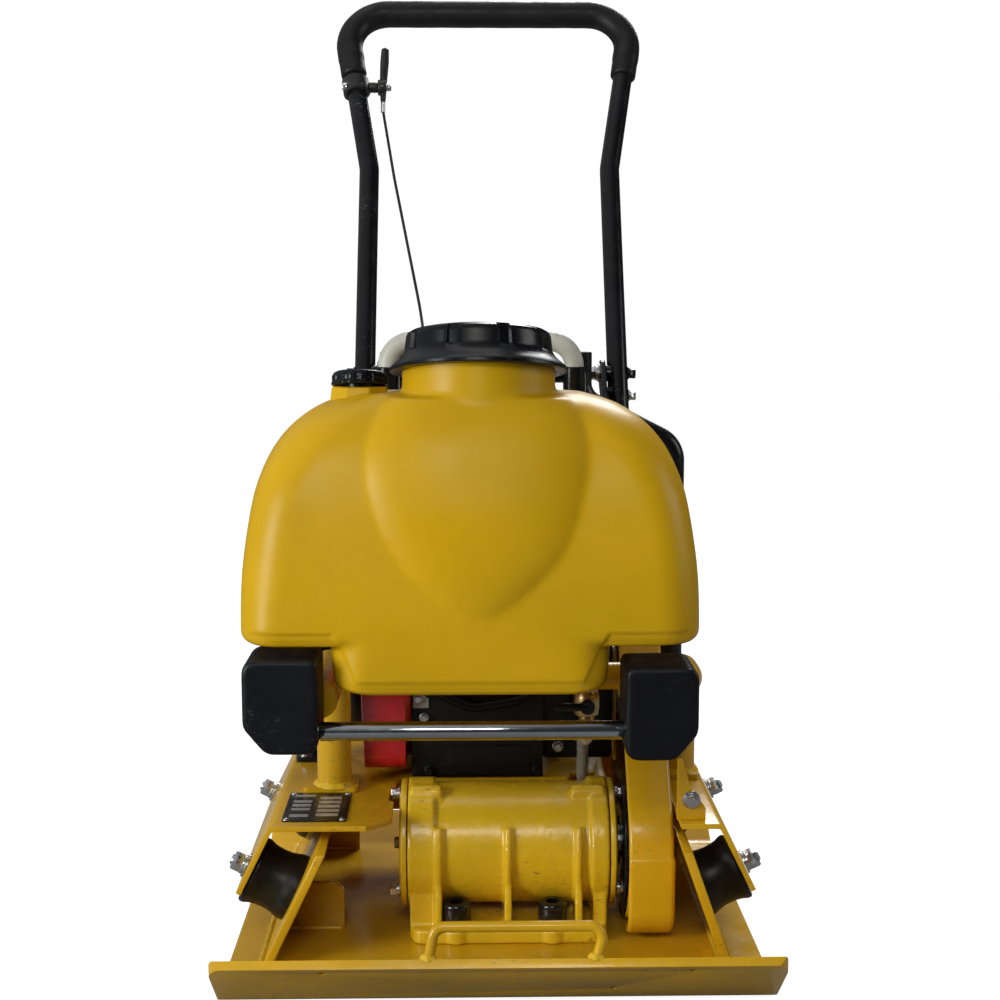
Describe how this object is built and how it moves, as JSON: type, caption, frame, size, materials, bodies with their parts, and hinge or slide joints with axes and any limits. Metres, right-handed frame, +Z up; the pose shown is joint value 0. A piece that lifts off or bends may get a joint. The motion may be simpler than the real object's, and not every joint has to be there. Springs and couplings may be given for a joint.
{
  "type": "plate compactor",
  "caption": "Forward plate compactor with isolated engine deck, belt driven exciter, front water tank and folding guide handle.",
  "frame": {"origin": "centre of the base plate's flat underside, on the ground", "axes": "+Z up, front of the machine faces -Y, +X is to the right seen from the front"},
  "size_m": [0.51, 0.6772, 0.9704],
  "materials": {
    "base_yellow": "gloss",
    "exciter_yellow": "gloss",
    "deck_yellow": "gloss",
    "tank_plastic": "satin",
    "cap_plastic": "satin",
    "bumper_rubber": "matte",
    "isolator_rubber": "matte",
    "belt_rubber": "matte",
    "zinc_steel": "satin",
    "bearing_steel": "polished",
    "chrome_steel": "polished",
    "black_bolt": "satin",
    "turned_steel": "satin",
    "label_metal": "satin",
    "engine_black": "satin",
    "engine_alloy": "cast",
    "fan_red": "gloss",
    "fuel_tank_black": "gloss",
    "muffler_steel": "satin",
    "tube_black": "gloss",
    "bail_grey": "satin",
    "grip_foam": "matte",
    "control_black": "satin",
    "cable_sleeve": "satin",
    "brass": "satin",
    "hose_clear": "satin"
  },
  "bodies": {
    "base": {"base_plate": "base_yellow", "side_wall_left": "base_yellow", "side_wall_right": "base_yellow", "front_lift_loop": "base_yellow", "exciter_housing": "exciter_yellow", "exciter_cap_left": "exciter_yellow", "exciter_cap_right": "exciter_yellow", "exciter_bearing_left": "bearing_steel", "exciter_bearing_right": "bearing_steel", "foot_bolt_left": "black_bolt", "foot_bolt_right": "black_bolt", "isolator_front_left": "isolator_rubber", "isolator_front_right": "isolator_rubber", "isolator_rear_left": "isolator_rubber", "isolator_rear_right": "isolator_rubber"},
    "eccentric": {"eccentric_shaft": "turned_steel", "exciter_pulley": "turned_steel"},
    "deck": {"engine_deck": "deck_yellow", "name_plate": "label_metal", "isolator_nut_front_left": "zinc_steel", "isolator_nut_front_right": "zinc_steel", "isolator_nut_rear_left": "zinc_steel", "isolator_nut_rear_right": "zinc_steel", "belt_guard": "deck_yellow", "guard_back_plate": "deck_yellow", "guard_bracket": "deck_yellow", "tank_frame": "deck_yellow", "bumper_left": "bumper_rubber", "bumper_right": "bumper_rubber", "front_rod": "chrome_steel", "water_tank": "tank_plastic", "water_tap": "brass", "water_hose": "hose_clear", "spray_bar": "deck_yellow", "crankcase": "engine_black", "cylinder": "engine_alloy", "valve_cover": "engine_black", "fan_housing": "fan_red", "recoil_cover": "cap_plastic", "fuel_tank": "fuel_tank_black", "air_cleaner": "cap_plastic", "muffler": "muffler_steel", "carburettor": "engine_alloy", "lifting_frame": "tube_black", "lifting_bail": "bail_grey", "pivot_bolt_left": "zinc_steel", "pivot_bolt_right": "zinc_steel", "throttle_cable": "cable_sleeve", "drive_belt": "belt_rubber"},
    "crank": {"crankshaft": "turned_steel"},
    "drum": {"clutch_drum": "turned_steel"},
    "handle": {"handle_frame": "tube_black", "handle_grip": "grip_foam", "throttle_clamp": "control_black"},
    "throttle": {"throttle_lever": "control_black"},
    "lid": {"tank_cap": "cap_plastic"},
    "vent": {"breather_cap": "cap_plastic"},
    "fuel_lid": {"fuel_cap": "cap_plastic"},
    "tap": {"tap_lever": "cap_plastic"},
    "starter": {"recoil_grip": "cap_plastic"}
  },
  "joints": [
    {"name": "deck_float", "type": "slide", "parent": "base", "child": "deck", "axis": [0, 0, 1], "range_m": [-0.004, 0.004], "stiffness_N_per_m": 300000, "springref_m": 0.0018, "deforming": ["isolator_front_left", "isolator_front_right", "isolator_rear_left", "isolator_rear_right", "drive_belt"]},
    {"name": "exciter_spin", "type": "hinge", "parent": "base", "child": "eccentric", "pos_m": [0, -0.025, 0.088], "axis": [1, 0, 0], "continuous": true},
    {"name": "drum_spin", "type": "hinge", "parent": "deck", "child": "drum", "pos_m": [0.1445, 0.11, 0.245], "axis": [1, 0, 0], "continuous": true},
    {"name": "crank_spin", "type": "hinge", "parent": "deck", "child": "crank", "pos_m": [0, 0.11, 0.245], "axis": [1, 0, 0], "continuous": true},
    {"name": "handle_fold", "type": "hinge", "parent": "deck", "child": "handle", "pos_m": [0, 0.17, 0.543], "axis": [1, 0, 0], "range_deg": [0, 100], "deforming": ["throttle_cable"]},
    {"name": "throttle_turn", "type": "hinge", "parent": "handle", "child": "throttle", "pos_m": [-0.1285, 0.3446, 0.8643], "axis": [1, 0, 0], "range_deg": [0, 50]},
    {"name": "cap_turn", "type": "hinge", "parent": "deck", "child": "lid", "pos_m": [-0.016, -0.112, 0.532], "axis": [0, 0.1731, 0.9849], "range_deg": [0, 360]},
    {"name": "vent_turn", "type": "hinge", "parent": "deck", "child": "vent", "pos_m": [-0.1245, -0.108, 0.52], "axis": [0, 0.1731, 0.9849], "range_deg": [0, 360]},
    {"name": "fuel_cap_turn", "type": "hinge", "parent": "deck", "child": "fuel_lid", "pos_m": [-0.028, 0.15, 0.4664], "axis": [0, 0, 1], "range_deg": [0, 90]},
    {"name": "tap_turn", "type": "hinge", "parent": "deck", "child": "tap", "pos_m": [0.084, -0.1244, 0.25], "axis": [0, -1, 0], "range_deg": [0, 90]},
    {"name": "starter_pull", "type": "slide", "parent": "deck", "child": "starter", "axis": [0, 0.8571, 0.5151], "range_m": [0, 0.3]}
  ],
  "couplings": [
    {"joint": "drum_spin", "follows": "exciter_spin", "ratio": 0.66667}
  ]
}
